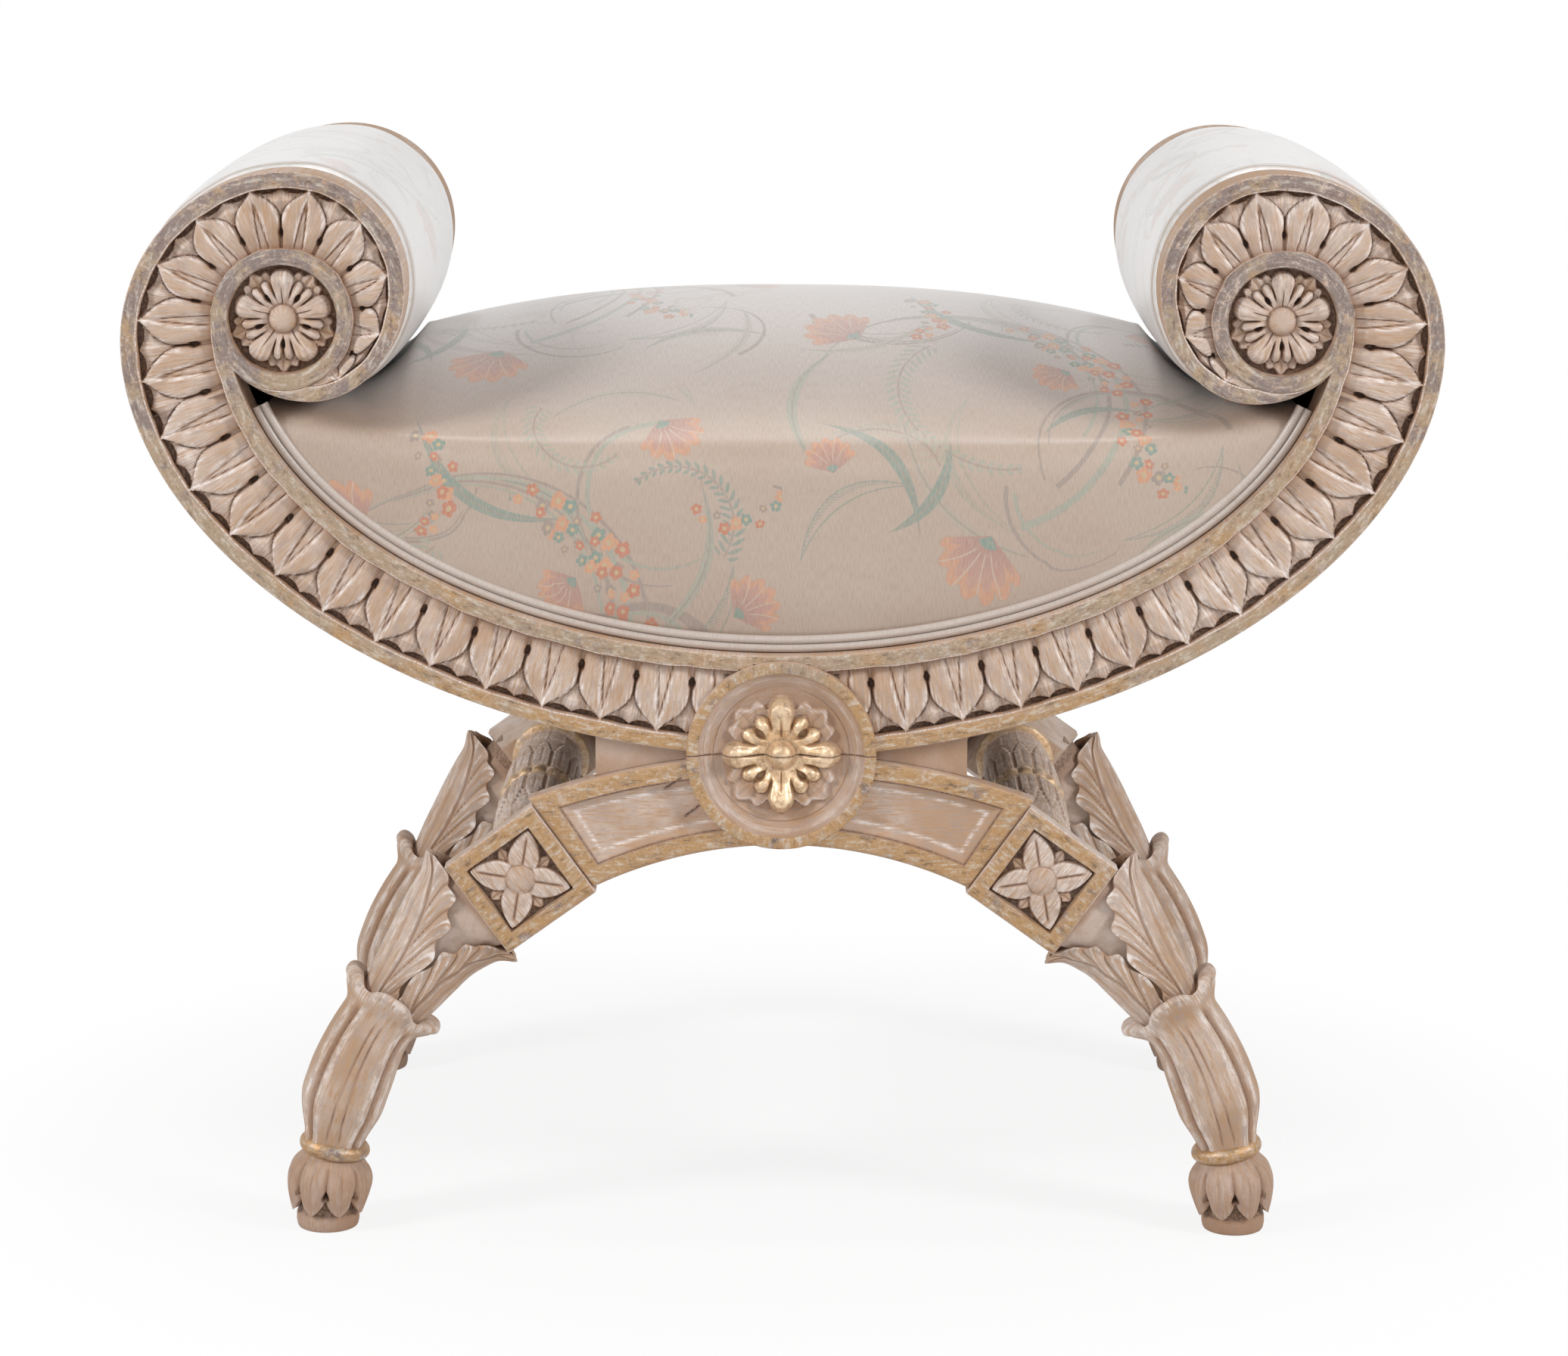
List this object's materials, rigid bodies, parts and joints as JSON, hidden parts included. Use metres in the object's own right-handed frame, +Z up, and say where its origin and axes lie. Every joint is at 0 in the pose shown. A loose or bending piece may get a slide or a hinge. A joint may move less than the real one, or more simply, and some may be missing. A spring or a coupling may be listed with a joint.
{
  "type": "upholstered scroll-end bench",
  "caption": "Low window bench with arched carved legs, a boat-shaped leaf-carved frame scrolled at both ends, arm rolls and a domed silk seat.",
  "frame": {"origin": "on the floor under the middle of the bench", "axes": "+X along the bench to the right, +Y to the back, +Z up; the pictured face looks along -Y"},
  "size_m": [0.774, 0.404, 0.6408],
  "materials": {
    "pickled_wood": "limed and rubbed carved wood with worn gilt fillets",
    "inner_wood": "plain unfinished timber inside the frame",
    "silk": "pale silk satin with a woven floral figure",
    "webbing": "jute webbing and hessian",
    "dust_cloth": "thin black cotton"
  },
  "bodies": {
    "root": {"centre_cross_rail": "inner_wood", "dust_cover": "dust_cloth", "front_arch": "pickled_wood", "front_boat_rail": "pickled_wood", "front_crescent": "silk", "front_left_arch_dowel": "inner_wood", "front_left_leg": "pickled_wood", "front_left_roll_welt": "silk", "front_left_scroll": "pickled_wood", "front_left_scroll_tenon": "inner_wood", "front_left_seam_dowel": "inner_wood", "front_left_wedge": "inner_wood", "front_right_arch_dowel": "inner_wood", "front_right_leg": "pickled_wood", "front_right_roll_welt": "silk", "front_right_scroll": "pickled_wood", "front_right_scroll_tenon": "inner_wood", "front_right_seam_dowel": "inner_wood", "front_right_wedge": "inner_wood", "front_seat_welt": "silk", "left_outside_cover": "silk", "left_roll_pad": "silk", "left_roll_pole": "inner_wood", "left_seat_rail": "inner_wood", "left_stretcher": "pickled_wood", "rear_arch": "pickled_wood", "rear_boat_rail": "pickled_wood", "rear_crescent": "silk", "rear_left_arch_dowel": "inner_wood", "rear_left_leg": "pickled_wood", "rear_left_roll_welt": "silk", "rear_left_scroll": "pickled_wood", "rear_left_scroll_tenon": "inner_wood", "rear_left_seam_dowel": "inner_wood", "rear_left_wedge": "inner_wood", "rear_right_arch_dowel": "inner_wood", "rear_right_leg": "pickled_wood", "rear_right_roll_welt": "silk", "rear_right_scroll": "pickled_wood", "rear_right_scroll_tenon": "inner_wood", "rear_right_seam_dowel": "inner_wood", "rear_right_wedge": "inner_wood", "rear_seat_welt": "silk", "right_outside_cover": "silk", "right_roll_pad": "silk", "right_roll_pole": "inner_wood", "right_seat_rail": "inner_wood", "right_stretcher": "pickled_wood", "seat_deck": "webbing", "seat_pad": "silk"}
  },
  "joints": []
}
